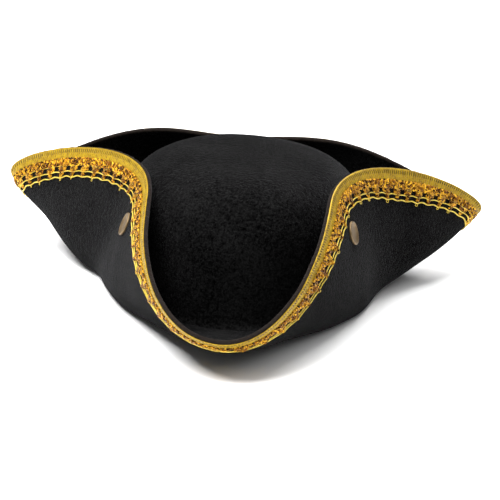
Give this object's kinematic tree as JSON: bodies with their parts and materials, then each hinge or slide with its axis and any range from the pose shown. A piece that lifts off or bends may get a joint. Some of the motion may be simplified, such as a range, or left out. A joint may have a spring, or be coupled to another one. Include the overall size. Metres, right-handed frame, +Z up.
{
  "type": "tricorn pirate hat",
  "caption": "Black felt tricorn hat with a domed crown, a wide brim turned up and snapped on its sides, and gold lace along the brim edge",
  "frame": {"origin": "middle of the hat's box in X and Y, at the flat underside of the brim that the hat stands on", "axes": "+Z up, -Y the front corner of the brim, +X towards the right corner seen from the front"},
  "size_m": [0.3694, 0.3346, 0.1046],
  "materials": {
    "black_felt": "matte pressed felt with a short fuzz",
    "gold_lace": "woven metallic braid with a glittering band and open loops",
    "snap_metal": "satin antique nickel",
    "ribbon": "ribbed black grosgrain"
  },
  "bodies": {
    "root": {"felt_crown": "black_felt", "brim_floor": "black_felt", "sweatband": "ribbon", "front_corner_lace": "gold_lace", "right_corner_lace": "gold_lace", "left_corner_lace": "gold_lace", "right_fold": "black_felt", "right_lace_start": "gold_lace", "right_lace_end": "gold_lace", "right_snap_stud": "snap_metal", "right_snap_rivet": "snap_metal", "back_fold": "black_felt", "back_lace_start": "gold_lace", "back_lace_end": "gold_lace", "back_snap_stud": "snap_metal", "back_snap_rivet": "snap_metal", "left_fold": "black_felt", "left_lace_start": "gold_lace", "left_lace_end": "gold_lace", "left_snap_stud": "snap_metal", "left_snap_rivet": "snap_metal"},
    "right_flap_body": {"right_flap": "black_felt", "right_lace": "gold_lace", "right_snap_cap": "snap_metal", "right_snap_socket": "snap_metal"},
    "back_flap_body": {"back_flap": "black_felt", "back_lace": "gold_lace", "back_snap_cap": "snap_metal", "back_snap_socket": "snap_metal"},
    "left_flap_body": {"left_flap": "black_felt", "left_lace": "gold_lace", "left_snap_cap": "snap_metal", "left_snap_socket": "snap_metal"}
  },
  "joints": [
    {"name": "right_flap_fold", "type": "hinge", "parent": "root", "child": "right_flap_body", "pos_m": [0.009, -0.16634, 0.0315], "axis": [0.4916, 0.8696, 0.0455], "range_deg": [0, 60], "deforming": ["right_fold", "right_lace_start", "right_lace_end"]},
    {"name": "back_flap_fold", "type": "hinge", "parent": "root", "child": "back_flap_body", "pos_m": [0.182, 0.13966, 0.0475], "axis": [-0.999, -0.0439, 0.0055], "range_deg": [0, 40], "deforming": ["back_fold", "back_lace_start", "back_lace_end"]},
    {"name": "left_flap_fold", "type": "hinge", "parent": "root", "child": "left_flap_body", "pos_m": [-0.182, 0.12366, 0.0495], "axis": [0.5493, -0.834, -0.0518], "range_deg": [0, 60], "deforming": ["left_fold", "left_lace_start", "left_lace_end"]}
  ]
}
